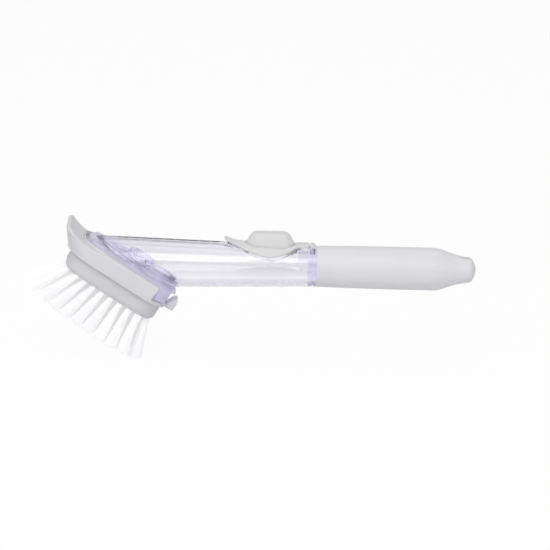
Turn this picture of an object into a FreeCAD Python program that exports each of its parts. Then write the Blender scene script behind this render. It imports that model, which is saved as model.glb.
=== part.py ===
"""Dish wand with a soap reservoir, a pump cap and a swing-off brush head.

Millimetres. The origin is the middle of the hang hole, +X runs along the wand to its tail,
+Z goes up through the hang hole and the brush head lies at -X. Head pieces are drawn in a
frame of their own, tilted about Y: u from nose to heel, y across, v away from the bristles,
with v = 0 on the rim of the tray.
"""
import FreeCAD, Part
import math
import os
import Sketcher
from FreeCAD import Placement, Rotation, Vector

SIZES = (
    # along the wand
    ("tail_length", 6.0),
    ("grip_length", 85.0),
    ("tube_length", 100.0),
    ("head_tilt", 31.8),
    # clearances
    ("fit_gap", 0.1),
    ("run_gap", 0.3),
    ("overrun", 2.0),
    # grip handle
    ("grip_front_radius", 10.95),
    ("grip_belly_radius", 11.4),
    ("grip_waist_radius", 7.3),
    ("grip_tail_radius", 6.7),
    ("grip_end_crown", 2.8),
    ("grip_end_fillet", 3.2),
    ("grip_taper", 24.0),
    ("grip_bore_radius", 8.4),
    ("grip_tail_solid", 23.0),
    ("hang_hole_radius", 2.6),
    ("hang_wall", 12.4),
    # reservoir tube
    ("tube_rear_radius", 10.95),
    ("tube_front_radius", 13.5),
    ("tube_wall", 2.2),
    ("bulkhead", 4.6),
    ("collar_groove_width", 0.7),
    ("collar_groove_depth", 0.5),
    ("spigot_length", 16.0),
    ("spigot_wall", 2.0),
    ("flange_thickness", 1.2),
    ("flange_front", 18.0),
    ("shelf_length", 5.2),
    ("shelf_half_width", 5.5),
    ("shelf_depth", 6.8),
    # fill cap
    ("cap_setback", 25.0),
    ("cap_front", 24.5),
    ("cap_rear", 17.0),
    ("cap_half_width", 10.7),
    ("cap_rise", 0.8),
    ("seat_depth", 1.1),
    ("seat_margin", 0.8),
    ("lip_lift", 2.4),
    ("plug_depth", 5.6),
    ("plug_wall", 1.2),
    ("plug_gap", 0.5),
    ("strap_half_width", 4.0),
    ("strap_thickness", 2.1),
    ("strap_sink", 1.05),
    ("strap_overlap", 6.0),
    ("hinge_setback", 5.0),
    ("anchor_peg_radius", 1.3),
    ("anchor_peg_length", 4.8),
    # pump dome
    ("dome_half_length", 12.9),
    ("dome_half_width", 6.1),
    ("dome_corner", 5.8),
    ("dome_end_slope", 3.7),
    ("dome_side_slope", 1.9),
    ("dome_height", 5.4),
    ("dome_sink", 3.0),
    ("dome_wall", 1.3),
    ("web_thickness", 0.6),
    ("web_width", 1.6),
    # base plate
    ("plate_front", 25.2),
    ("plate_rear", 29.5),
    ("plate_half_width", 18.5),
    ("plate_corner", 12.0),
    ("plate_thickness", 2.2),
    ("plate_draft", 2.0),
    ("skirt_depth", 4.2),
    ("skirt_wall", 1.8),
    ("heel_setback", 2.0),
    ("heel_length", 7.3),
    ("heel_depth", 7.0),
    ("tongue_reach", 1.8),
    ("tongue_radius", 0.8),
    ("tongue_drop", 3.2),
    ("tongue_half_width", 10.0),
    # outlet valve, in the plate
    ("valve_offset", 3.7),
    ("boss_radius", 7.4),
    ("boss_height", 5.4),
    ("seat_radius", 5.6),
    ("seat_height", 4.4),
    ("port_radius", 3.2),
    ("valve_flange", 1.1),
    ("valve_cup_radius", 3.4),
    ("valve_cup_depth", 2.9),
    ("valve_wall", 0.9),
    ("slit_width", 0.3),
    ("retainer_height", 1.3),
    ("retainer_wall", 1.4),
    # head tray
    ("tray_gap", 0.4),
    ("tray_wall", 2.1),
    ("tray_depth", 9.5),
    ("tray_floor", 1.8),
    ("tray_corner", 14.0),
    ("tray_lip", 0.5),
    ("tray_lip_height", 1.0),
    ("nose_length", 14.2),
    ("nose_rake", 7.0),
    ("nose_corner", 6.0),
    ("nose_relief", 1.8),
    ("nose_rise", 1.5),
    ("dish_radius", 38.0),
    ("dish_depth", 1.6),
    ("dish_setback", 1.7),
    ("ledge_width", 2.4),
    ("notch_length", 8.1),
    ("soap_hole_radius", 3.0),
    # bristle block
    ("block_inset", 2.2),
    ("block_shift", 1.1),
    ("block_depth", 9.6),
    ("block_fillet", 3.0),
    ("peg_radius", 2.0),
    ("peg_length", 2.4),
    ("peg_spread", 12.0),
    # tufts
    ("tuft_pitch", 5.5),
    ("tuft_side_margin", 3.2),
    ("tuft_end_margin", 2.6),
    ("tuft_root_radius", 1.25),
    ("tuft_tip_radius", 2.5),
    ("tuft_length", 22.5),
    ("tuft_hole_depth", 6.0),
    ("tuft_front_angle", 34.0),
    ("tuft_rear_angle", 18.0),
    ("tuft_side_angle", 15.0),
    ("anchor_width", 2.0),
    ("anchor_height", 1.4),
    ("anchor_thickness", 0.4),
    # release paddle
    ("paddle_half_width", 6.0),
    ("paddle_knuckle", 0.9),
    ("paddle_reach", 4.2),
    ("paddle_height", 6.0),
)
TUFT_ROWS = 7
PEG_SIDES = (-1, 1)

# shares of the grip's taper length, and of the drop from belly to waist radius
GRIP_TAPER_SHARES = ((0.30, 0.70), (0.54, 0.22), (0.72, 0.02))
# shares of the saddle's reach from its middle, of its half width and of the lip's lift
SADDLE_SHARES = (
    (-1.00, 0.24, 1.00), (-0.90, 0.37, 0.58), (-0.74, 0.54, 0.18), (-0.50, 0.81, 0.00),
    (-0.18, 0.98, 0.00), (0.20, 0.97, 0.00), (0.58, 0.79, 0.00), (0.84, 0.50, 0.00),
    (1.00, 0.38, 0.00),
)
SADDLE_SEAT_SHARE = 0.90
# shares of the dome's height and of its slopes, from its foot to its crown
DOME_SHARES = ((0.0, 0.0), (0.5, 0.22), (0.86, 0.72), (1.0, 1.12))
DOME_HOLLOW_SHARE = 0.80
# shares of the paddle's reach and height, round its side outline from the knuckle up
PADDLE_SHARES = ((0.06, 0.47), (0.50, 1.0), (1.0, 0.60), (0.98, -0.12))
CONE_REACH_SHARE = 1.5

COLLAR = "(sizes.tail_length - sizes.grip_length)"
HEAD = f"({COLLAR} - sizes.tube_length)"
CAP = f"({COLLAR} - sizes.cap_setback)"
TAPER = "((sizes.tube_front_radius - sizes.tube_rear_radius) / sizes.tube_length)"
TUBE_END = f"({HEAD} - {CONE_REACH_SHARE} * sizes.tube_front_radius / tan(sizes.head_tilt))"
HINGE_X = f"({COLLAR} - sizes.hinge_setback)"
STRAP_SEAT = "(sizes.tube_rear_radius - sizes.strap_sink)"
STRAP_FOOT = f"({STRAP_SEAT} + sizes.fit_gap)"
STRAP_TOP = f"({STRAP_FOOT} + sizes.strap_thickness)"
HINGE_Z = f"({STRAP_FOOT} + sizes.strap_thickness / 2)"
ANCHOR_X = f"({HINGE_X} + sizes.strap_thickness / 2 + sizes.run_gap)"
FLOOR_TOP = "(sizes.tray_floor - sizes.tray_depth)"
LEDGE_TOP = "(-sizes.skirt_depth - sizes.fit_gap)"
HEEL = "(sizes.plate_rear - sizes.heel_setback)"
PIVOT_U = "(-sizes.plate_front - sizes.tongue_reach)"
PIVOT_V = "(-sizes.tongue_drop)"
PADDLE_U = f"({HEEL} + sizes.tray_lip + sizes.run_gap + sizes.paddle_knuckle)"
PADDLE_V = "(sizes.paddle_knuckle - sizes.tray_depth)"
BLOCK_FOOT = "(-sizes.tray_depth - sizes.block_depth)"

# rounded rectangles as (front, rear, half width, corner radius)
PLATE = ("(-sizes.plate_front)", "sizes.plate_rear", "sizes.plate_half_width", "sizes.plate_corner")
SKIRT = (PLATE[0], HEEL, PLATE[2], PLATE[3])
PLATE_TOP = tuple(f"({side} {sign} sizes.plate_draft)" for side, sign in zip(PLATE, "+---"))
FLANGE = ("(-sizes.flange_front)",) + PLATE_TOP[1:]
TRAY_HALF = "(sizes.plate_half_width + sizes.tray_gap + sizes.tray_wall)"
TRAY_RIM = ("(-sizes.plate_front - sizes.nose_length)", HEEL, TRAY_HALF, "sizes.nose_corner")
TRAY_FOOT = (f"({TRAY_RIM[0]} + sizes.nose_rake)", HEEL, TRAY_HALF, "sizes.tray_corner")
DOME = (f"({CAP} - sizes.dome_half_length)", f"({CAP} + sizes.dome_half_length)",
        "sizes.dome_half_width", "sizes.dome_corner")

doc = FreeCAD.newDocument("dish_wand")
sheet = doc.addObject("Spreadsheet::Sheet", "sizes")
for row, (alias, number) in enumerate(SIZES, 1):
    sheet.set(f"A{row}", alias)
    sheet.set(f"B{row}", str(number))
    sheet.setAlias(f"B{row}", alias)
doc.recompute()


def value(expression):
    """Number that an expression on the sheet gives."""
    return float(sheet.evalExpression(expression))


def size(alias):
    """Number in one cell of the sheet."""
    return value(f"sizes.{alias}")


def bind(obj, links):
    """Bind properties of an object to expressions on the sheet."""
    for prop, expression in links.items():
        obj.setExpression(prop, expression)
    return obj


def inset(rect, amount):
    """Rounded rectangle drawn in by an amount all round."""
    front, rear, half, corner = rect
    return (f"({front} + ({amount}))", f"({rear} - ({amount}))",
            f"({half} - ({amount}))", f"({corner} - ({amount}))")


def tube_radius(x):
    """Outer radius of the tube at a place along the wand."""
    return f"(sizes.tube_rear_radius + {TAPER} * ({COLLAR} - ({x})))"


def fuse(name, *shapes):
    """Union of several objects."""
    obj = doc.addObject("Part::MultiFuse", name)
    obj.Shapes = list(shapes)
    return obj


def cut(name, base, *tools):
    """One object less several others."""
    obj = doc.addObject("Part::Cut", name)
    obj.Base = base
    obj.Tool = tools[0] if len(tools) == 1 else fuse(f"{name}_tools", *tools)
    return obj


def common(name, first, second):
    """What two objects share."""
    obj = doc.addObject("Part::Common", name)
    obj.Base = first
    obj.Tool = second
    return obj


def cylinder(name, radius, height, x="0", y="0", z="0", along="z"):
    """Cylinder from a foot point along +X, +Y or +Z."""
    obj = doc.addObject("Part::Cylinder", name)
    turns = {"x": Rotation(Vector(0, 1, 0), 90), "y": Rotation(Vector(1, 0, 0), -90), "z": Rotation()}
    obj.Placement = Placement(Vector(), turns[along])
    return bind(obj, {"Radius": radius, "Height": height, "Placement.Base.x": x,
                      "Placement.Base.y": y, "Placement.Base.z": z})


def block(name, x, y, z):
    """Box between three pairs of bounds."""
    obj = doc.addObject("Part::Box", name)
    return bind(obj, {"Length": f"{x[1]} - {x[0]}", "Width": f"{y[1]} - {y[0]}", "Height": f"{z[1]} - {z[0]}",
                      "Placement.Base.x": x[0], "Placement.Base.y": y[0], "Placement.Base.z": z[0]})


def across(half):
    """Pair of bounds at equal distances from the middle plane."""
    return (f"(-({half}))", f"({half})")


def tube_cone(name, offset, start, end):
    """Cone round the wand, an offset outside the tube's own surface, from start forward to end."""
    obj = doc.addObject("Part::Cone", name)
    obj.Placement = Placement(Vector(), Rotation(Vector(0, 1, 0), -90))
    return bind(obj, {"Radius1": f"{tube_radius(start)} + ({offset})",
                      "Radius2": f"{tube_radius(end)} + ({offset})",
                      "Height": f"{start} - ({end})", "Placement.Base.x": start})


def to_head(obj, u="0", v="0"):
    """Place an object drawn in the head's frame, with its own origin at u and v."""
    obj.Placement = Placement(Vector(), Rotation(Vector(0, 1, 0), 1))
    cosine = "cos(sizes.head_tilt)"
    sine = "sin(sizes.head_tilt)"
    return bind(obj, {"Placement.Rotation.Angle": "sizes.head_tilt",
                      "Placement.Base.x": f"{HEAD} + ({u}) * {cosine} + ({v}) * {sine}",
                      "Placement.Base.z": f"({v}) * {cosine} - ({u}) * {sine}"})


def dimension(sketch, kind, geometry, point, expression):
    """Signed distance of a sketch point from the origin, bound to the sheet."""
    amount = value(expression)
    index = sketch.addConstraint(Sketcher.Constraint(kind, -1, 1, geometry, point, amount))
    sketch.setExpression(f"Constraints[{index}]", expression)


def draw_rounded(sketch, rect):
    """Draw a rounded rectangle in a sketch, each side and corner dimensioned."""
    front, rear, half, corner = rect
    x0, x1, w, r = (value(expression) for expression in rect)

    def line(start, end):
        return Part.LineSegment(Vector(*start), Vector(*end))

    def arc(x, y, quarter):
        circle = Part.Circle(Vector(x, y), Vector(0, 0, 1), r)
        return Part.ArcOfCircle(circle, quarter * math.pi / 2, (quarter + 1) * math.pi / 2)

    sides = [line((x0 + r, -w), (x1 - r, -w)), arc(x1 - r, r - w, -1),
             line((x1, r - w), (x1, w - r)), arc(x1 - r, w - r, 0),
             line((x1 - r, w), (x0 + r, w)), arc(x0 + r, w - r, 1),
             line((x0, w - r), (x0, r - w)), arc(x0 + r, r - w, 2)]
    sketch.addGeometry(sides, False)
    for side in range(len(sides)):
        sketch.addConstraint(Sketcher.Constraint("Tangent", side, 2, (side + 1) % len(sides), 1))
    for side, kind in ((0, "Horizontal"), (2, "Vertical"), (4, "Horizontal"), (6, "Vertical")):
        sketch.addConstraint(Sketcher.Constraint(kind, side))
    for kind, side, expression in (("DistanceX", 6, front), ("DistanceX", 2, rear),
                                   ("DistanceY", 0, f"-({half})"), ("DistanceY", 4, half)):
        dimension(sketch, kind, side, 1, expression)
    for side in (1, 3, 5, 7):
        index = sketch.addConstraint(Sketcher.Constraint("Radius", side, r))
        sketch.setExpression(f"Constraints[{index}]", corner)
    return sketch


def draw_polygon(sketch, points):
    """Draw a closed outline of straight sides, each corner dimensioned from the origin."""
    places = [Vector(value(x), value(y)) for x, y in points]
    count = len(places)
    sketch.addGeometry([Part.LineSegment(places[k], places[(k + 1) % count]) for k in range(count)], False)
    for k in range(count):
        sketch.addConstraint(Sketcher.Constraint("Coincident", k, 2, (k + 1) % count, 1))
    for k, (x, y) in enumerate(points):
        dimension(sketch, "DistanceX", k, 1, x)
        dimension(sketch, "DistanceY", k, 1, y)
    return sketch


def outline(name, rect, level):
    """Sketch of a rounded rectangle lying flat at a level."""
    sketch = draw_rounded(doc.addObject("Sketcher::SketchObject", name), rect)
    return bind(sketch, {"Placement.Base.z": level})


def extrude(name, sketch, direction, length):
    """Solid drawn out from a sketch."""
    obj = doc.addObject("Part::Extrusion", name)
    obj.Base = sketch
    obj.DirMode = "Custom"
    obj.Dir = direction
    obj.Solid = True
    return bind(obj, {"LengthFwd": length})


def prism(name, rect, bottom, top):
    """Upright prism on a rounded rectangle between two levels."""
    sketch = outline(f"{name}_outline", rect, bottom)
    return extrude(name, sketch, Vector(0, 0, 1), f"{top} - ({bottom})")


def loft(name, *sections):
    """Ruled solid through flat sections."""
    obj = doc.addObject("Part::Loft", name)
    obj.Sections = list(sections)
    obj.Solid = True
    obj.Ruled = True
    return obj


def feature(name, shape):
    """Object that holds a shape worked out from the sheet."""
    obj = doc.addObject("Part::Feature", name)
    obj.Shape = shape
    return obj


def origin_plane(body, role):
    """One of a body's own origin planes."""
    return next(plane for plane in body.Origin.OriginFeatures if plane.Role == role)


def body_sketch(body, name, role):
    """Sketch on one of a body's own origin planes."""
    sketch = body.newObject("Sketcher::SketchObject", name)
    sketch.AttachmentSupport = [(origin_plane(body, role), "")]
    sketch.MapMode = "FlatFace"
    return sketch


def node(obj, label):
    """Give a finished sub-part its name."""
    obj.Label = label
    return obj


def build_grip():
    """Grip handle: turned barrel with a waisted tail, a bore for the spigot and the hang hole."""
    front = value(COLLAR) + size("fit_gap")
    tail = size("tail_length")
    belly = size("grip_belly_radius")
    waist = size("grip_waist_radius")
    shoulder = tail - size("grip_taper")
    edge = Vector(tail - size("grip_end_crown"), 0, size("grip_tail_radius"))
    start = Vector(front, 0, size("grip_front_radius"))
    swell = Vector((front + shoulder) / 2, 0, belly)
    shoulder_point = Vector(shoulder, 0, belly)
    barrel = Part.Arc(start, swell, shoulder_point)
    taper = [Vector(shoulder + along * size("grip_taper"), 0, waist + drop * (belly - waist))
             for along, drop in GRIP_TAPER_SHARES]
    side = Part.BSplineCurve()
    side.interpolate([shoulder_point] + taper + [edge])
    crown = size("grip_end_crown")
    end_radius = (edge.z ** 2 + crown ** 2) / (2 * crown)
    half_angle = math.asin(edge.z / end_radius) / 2
    middle = Vector(tail - end_radius * (1 - math.cos(half_angle)), 0, end_radius * math.sin(half_angle))
    end = Part.Arc(edge, middle, Vector(tail, 0, 0))
    wire = Part.Wire([barrel.toShape(), side.toShape(), end.toShape(),
                      Part.makeLine(Vector(tail, 0, 0), Vector(front, 0, 0)),
                      Part.makeLine(Vector(front, 0, 0), start)])
    turned = Part.Face(wire).revolve(Vector(), Vector(1, 0, 0), 360)
    rim = [item for item in turned.Edges if item.BoundBox.XLength < size("fit_gap")
           and abs(item.CenterOfMass.x - edge.x) < size("fit_gap")]
    blank = feature("grip_blank", turned.makeFillet(size("grip_end_fillet"), rim))
    bore = cylinder("grip_bore", "sizes.grip_bore_radius", "sizes.grip_length - sizes.grip_tail_solid",
                    x=COLLAR, along="x")
    reach = "sizes.grip_belly_radius"
    hole = cylinder("hang_bore", "sizes.hang_hole_radius", f"2 * {reach}", z=f"-{reach}")
    mouths = []
    for side_name, angle, sign in (("top", 0, ""), ("bottom", 180, "-")):
        mouth = doc.addObject("Part::Cone", f"hang_mouth_{side_name}")
        mouth.Placement = Placement(Vector(), Rotation(Vector(1, 0, 0), angle))
        flare = f"({reach} - sizes.hang_wall / 2)"
        bind(mouth, {"Radius1": "sizes.hang_hole_radius", "Radius2": f"sizes.hang_hole_radius + {flare}",
                     "Height": flare, "Placement.Base.z": f"{sign}sizes.hang_wall / 2"})
        mouths.append(mouth)
    return node(cut("grip", blank, bore, hole, *mouths), "grip_handle")


def saddle_solid(foot, top, margin, lift, first_share=-1.0):
    """Saddle wrapped on the tube, between two offsets from the tube's surface.

    Each cross section is a band between two arcs round the wand; its half angle follows the
    saddle's half width, and the front sections are lifted to make the lip.
    """
    middle = value(CAP)
    width = size("cap_half_width") + margin
    wires = []
    for along, share, rise in SADDLE_SHARES:
        if along < first_share:
            continue
        reach = size("cap_front") if along < 0 else size("cap_rear")
        x = middle + along * (reach + margin)
        outer = value(tube_radius(str(x))) + top
        inner = value(tube_radius(str(x))) + foot
        angle = math.asin(min(share * width / (value(tube_radius(str(x))) + size("cap_rise")), 1))
        raised = rise * lift

        def at(radius, turn):
            return Vector(x, radius * math.sin(turn), raised + radius * math.cos(turn))

        over = Part.Arc(at(outer, -angle), at(outer, 0), at(outer, angle)).toShape()
        under = Part.Arc(at(inner, angle), at(inner, 0), at(inner, -angle)).toShape()
        wires.append(Part.Wire([over, Part.makeLine(at(outer, angle), at(inner, angle)), under,
                                Part.makeLine(at(inner, -angle), at(outer, -angle))]))
    return Part.makeLoft(wires, True, False)


def build_tube():
    """Reservoir tube: tapered, closed by a bulkhead and spigot behind and a tilted flange in front."""
    inside = f"({COLLAR} - sizes.bulkhead)"
    outer = tube_cone("tube_outer", "0", COLLAR, TUBE_END)
    hollow = tube_cone("tube_hollow", "-sizes.tube_wall", inside, TUBE_END)
    flange_foot = "(sizes.plate_thickness + sizes.fit_gap)"
    flange = to_head(prism("tube_flange", FLANGE, flange_foot, f"({flange_foot} + sizes.flange_thickness)"))
    spigot_radius = "(sizes.grip_bore_radius - sizes.fit_gap)"
    middle = f"({COLLAR} - sizes.bulkhead / 2)"
    spigot = cylinder("spigot_outer", spigot_radius, "sizes.spigot_length + sizes.bulkhead / 2",
                      x=middle, along="x")
    spigot_bore = cylinder("spigot_bore", f"{spigot_radius} - sizes.spigot_wall",
                           "sizes.spigot_length + sizes.overrun", x=COLLAR, along="x")
    shell = cut("tube_shell", fuse("tube_blank", outer, flange, spigot), hollow, spigot_bore)

    shelf = block("shelf_block", (f"({inside} - sizes.shelf_length)", f"({inside} + sizes.overrun)"),
                  across("sizes.shelf_half_width"), (f"({STRAP_SEAT} - sizes.shelf_depth)", STRAP_SEAT))
    shelf_limit = tube_cone("shelf_limit", "-sizes.tube_wall / 2", COLLAR, TUBE_END)
    body = fuse("tube_body", shell, common("strap_shelf", shelf, shelf_limit))
    span = f"({CONE_REACH_SHARE} * (sizes.plate_front + sizes.plate_rear))"
    below = doc.addObject("Part::Box", "below_flange")
    bind(below, {"Length": f"2 * {span}", "Width": f"2 * {span}", "Height": span})
    to_head(below, u=f"-{span}", v=f"{flange_foot} - {span}")
    bind(below, {"Placement.Base.y": f"-{span}"})

    seat = feature("cap_seat", saddle_solid(-size("seat_depth"), 2 * size("cap_rise"), size("seat_margin"),
                                            0.0, -SADDLE_SEAT_SHARE))
    port = prism("fill_port", inset(DOME, "-sizes.run_gap - sizes.plug_wall - sizes.plug_gap"),
                 "0", "2 * sizes.tube_rear_radius")
    strap_front = f"({HINGE_X} - sizes.strap_overlap - sizes.plug_gap)"
    flat = block("strap_flat", (strap_front, f"({COLLAR} + sizes.overrun)"),
                 across("sizes.strap_half_width + sizes.plug_gap"),
                 (STRAP_SEAT, "2 * sizes.tube_rear_radius"))
    peg = cylinder("anchor_hole", "sizes.anchor_peg_radius + sizes.fit_gap",
                   "sizes.anchor_peg_length + sizes.run_gap + sizes.overrun", x=middle,
                   z=f"{STRAP_SEAT} - sizes.anchor_peg_length - sizes.run_gap")
    ring = cut("groove_ring",
               cylinder("groove_outer", "2 * sizes.tube_rear_radius", "sizes.collar_groove_width",
                        x=middle, along="x"),
               cylinder("groove_inner", "sizes.tube_rear_radius - sizes.collar_groove_depth",
                        "sizes.collar_groove_width", x=middle, along="x"))
    return node(cut("tube", body, below, seat, port, flat, peg, ring), "reservoir_tube")


def build_base_plate():
    """Clear plate that closes the tube: web, skirt, heel block, toe tongue and valve seat."""
    web = loft("plate_web", outline("web_foot", PLATE, "0"),
               outline("web_top", PLATE_TOP, "sizes.plate_thickness"))
    skirt = cut("plate_skirt", prism("skirt_outer", SKIRT, "(-sizes.skirt_depth)", "0"),
                prism("skirt_inner", inset(SKIRT, "sizes.skirt_wall"), "(-sizes.skirt_depth)", "0"))
    heel = common("plate_heel", prism("heel_outline", SKIRT, "(-sizes.heel_depth)", "0"),
                  block("heel_block", (f"({HEEL} - sizes.heel_length)", f"({HEEL} + sizes.overrun)"),
                        across("sizes.plate_half_width"), ("(-sizes.heel_depth)", "0")))
    tongue = fuse("plate_tongue",
                  block("tongue_web", (PIVOT_U, "(sizes.skirt_wall - sizes.plate_front)"),
                        across("sizes.tongue_half_width"),
                        (f"({PIVOT_V} - sizes.tongue_radius)", f"({PIVOT_V} + sizes.tongue_radius)")),
                  cylinder("tongue_nose", "sizes.tongue_radius", "2 * sizes.tongue_half_width",
                           x=PIVOT_U, y="-sizes.tongue_half_width", z=PIVOT_V, along="y"))
    boss = cylinder("valve_boss", "sizes.boss_radius", "sizes.plate_thickness + sizes.boss_height",
                    x="sizes.valve_offset")
    seat = cylinder("valve_seat", "sizes.seat_radius", "sizes.seat_height + sizes.overrun",
                    x="sizes.valve_offset", z="-sizes.overrun")
    port = cylinder("valve_port", "sizes.port_radius", "2 * (sizes.plate_thickness + sizes.boss_height)",
                    x="sizes.valve_offset")
    plate = cut("plate", fuse("plate_blank", web, skirt, heel, tongue, boss), seat, port)
    return node(to_head(plate), "base_plate")


def build_valve():
    """Soft outlet valve: a flange against its seat and a hanging cup with a slit in its foot."""
    body = doc.addObject("PartDesign::Body", "valve_body")
    flange = "(sizes.seat_radius - sizes.fit_gap)"
    top = "(sizes.seat_height - sizes.fit_gap)"
    low = f"({top} - sizes.valve_flange)"
    foot = f"({low} - sizes.valve_cup_depth)"
    cup = "sizes.valve_cup_radius"
    bore = f"({cup} - sizes.valve_wall)"
    taper = f"({bore} / 2)"
    points = (("0", foot), (f"({cup} / 2)", foot), (cup, low), (flange, low), (flange, top), (bore, top),
              (bore, low), (taper, f"({foot} + sizes.valve_wall)"), ("0", f"({foot} + sizes.valve_wall)"))
    profile = draw_polygon(body_sketch(body, "valve_profile", "XZ_Plane"), points)
    turned = body.newObject("PartDesign::Revolution", "valve_turned")
    turned.Profile = profile
    turned.ReferenceAxis = (profile, ["V_Axis"])
    turned.Angle = 360
    doc.recompute()
    slit_half = "(sizes.slit_width / 2)"
    corners = [(f"-{taper}", f"-{slit_half}"), (taper, f"-{slit_half}"), (taper, slit_half),
               (f"-{taper}", slit_half)]
    slit_sketch = draw_polygon(body_sketch(body, "valve_slit_outline", "XY_Plane"), corners)
    slit = body.newObject("PartDesign::Pocket", "valve_slit")
    slit.Profile = slit_sketch
    slit.Midplane = True
    bind(slit, {"Length": "2 * sizes.seat_height"})
    doc.recompute()
    return node(to_head(body, u="sizes.valve_offset"), "outlet_valve")


def build_retainer():
    """Ring that holds the valve's flange in its seat."""
    body = doc.addObject("PartDesign::Body", "retainer_body")
    sketch = body_sketch(body, "retainer_rings", "XY_Plane")
    for radius in ("(sizes.seat_radius - sizes.fit_gap)",
                   "(sizes.seat_radius - sizes.fit_gap - sizes.retainer_wall)"):
        circle = sketch.addGeometry(Part.Circle(Vector(), Vector(0, 0, 1), value(radius)), False)
        sketch.addConstraint(Sketcher.Constraint("Coincident", circle, 3, -1, 1))
        index = sketch.addConstraint(Sketcher.Constraint("Radius", circle, value(radius)))
        sketch.setExpression(f"Constraints[{index}]", radius)
    ring = body.newObject("PartDesign::Pad", "retainer_ring")
    ring.Profile = sketch
    bind(ring, {"Length": "sizes.retainer_height"})
    top = "(sizes.seat_height - 2 * sizes.fit_gap - sizes.valve_flange)"
    return node(to_head(body, u="sizes.valve_offset", v=f"{top} - sizes.retainer_height"), "valve_retainer")


def build_cap():
    """Fill cap: saddle with a lift lip, a plug skirt round the pump opening and a strap."""
    saddle = feature("cap_saddle", saddle_solid(size("run_gap") - size("seat_depth"), size("cap_rise"),
                                                0.0, size("lip_lift")))
    opening = inset(DOME, "-sizes.run_gap")
    crest = f"({tube_radius(CAP)} + sizes.cap_rise)"
    ring = common("plug_ring",
                  prism("plug_outer", inset(opening, "-sizes.plug_wall"), f"({crest} - sizes.plug_depth)",
                        "2 * sizes.tube_rear_radius"),
                  tube_cone("plug_limit", "sizes.cap_rise - sizes.fit_gap", COLLAR, TUBE_END))
    strap = block("cap_strap", (f"({HINGE_X} - sizes.strap_overlap)", HINGE_X),
                  across("sizes.strap_half_width"), (STRAP_FOOT, STRAP_TOP))
    roll = cylinder("strap_roll", "sizes.strap_thickness / 2", "2 * sizes.strap_half_width",
                    x=HINGE_X, y="-sizes.strap_half_width", z=HINGE_Z, along="y")
    hole = prism("pump_opening", opening, "0", "2 * sizes.tube_rear_radius")
    return node(cut("cap", fuse("cap_blank", saddle, ring, strap, roll), hole), "fill_cap")


def build_anchor():
    """End of the strap, with the peg that plugs it into the collar."""
    head = block("anchor_head", (ANCHOR_X, f"({COLLAR} - sizes.run_gap)"), across("sizes.strap_half_width"),
                 (STRAP_FOOT, STRAP_TOP))
    peg = cylinder("anchor_peg", "sizes.anchor_peg_radius", "sizes.anchor_peg_length",
                   x=f"{COLLAR} - sizes.bulkhead / 2", z=f"{STRAP_FOOT} - sizes.anchor_peg_length")
    return node(fuse("anchor", head, peg), "cap_anchor")


def dome_section(name, ends, sides, level):
    """Flat outline of the dome, drawn in at its ends and sides, at a level."""
    front, rear, half, corner = DOME
    rect = (f"({front} + {ends})", f"({rear} - {ends})", f"({half} - {sides})", f"({corner} - {sides})")
    return outline(name, rect, level)


def build_dome():
    """Pump dome: a hollow thumb button whose foot slides in the cap's opening."""
    crest = f"({tube_radius(CAP)} + sizes.cap_rise)"
    foot = f"({crest} - sizes.dome_sink)"
    skin = [dome_section("dome_foot", "0", "0", foot)]
    for index, (rise, draw) in enumerate(DOME_SHARES):
        skin.append(dome_section(f"dome_skin_{index}", f"{draw} * sizes.dome_end_slope",
                                 f"{draw} * sizes.dome_side_slope", f"{crest} + {rise} * sizes.dome_height"))
    wall = "sizes.dome_wall"
    core = [dome_section("dome_core_foot", wall, wall, foot),
            dome_section("dome_core_crest", wall, wall, crest),
            dome_section("dome_core_top", f"(sizes.dome_end_slope + {wall})",
                         f"(sizes.dome_side_slope + {wall})",
                         f"{crest} + {DOME_HOLLOW_SHARE} * sizes.dome_height - {wall} / 2")]
    return node(cut("dome", loft("dome_outside", *skin), loft("dome_inside", *core)), "pump_dome")


def build_web():
    """Thin soft web under the dome's foot that lets it travel and springs it back."""
    foot = f"({tube_radius(CAP)} + sizes.cap_rise - sizes.dome_sink)"
    bottom = f"({foot} - sizes.web_thickness)"
    outer = prism("web_outer", DOME, bottom, foot)
    inner = prism("web_inner", inset(DOME, "sizes.web_width"), bottom, foot)
    return node(cut("web", outer, inner), "dome_web")


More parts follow.
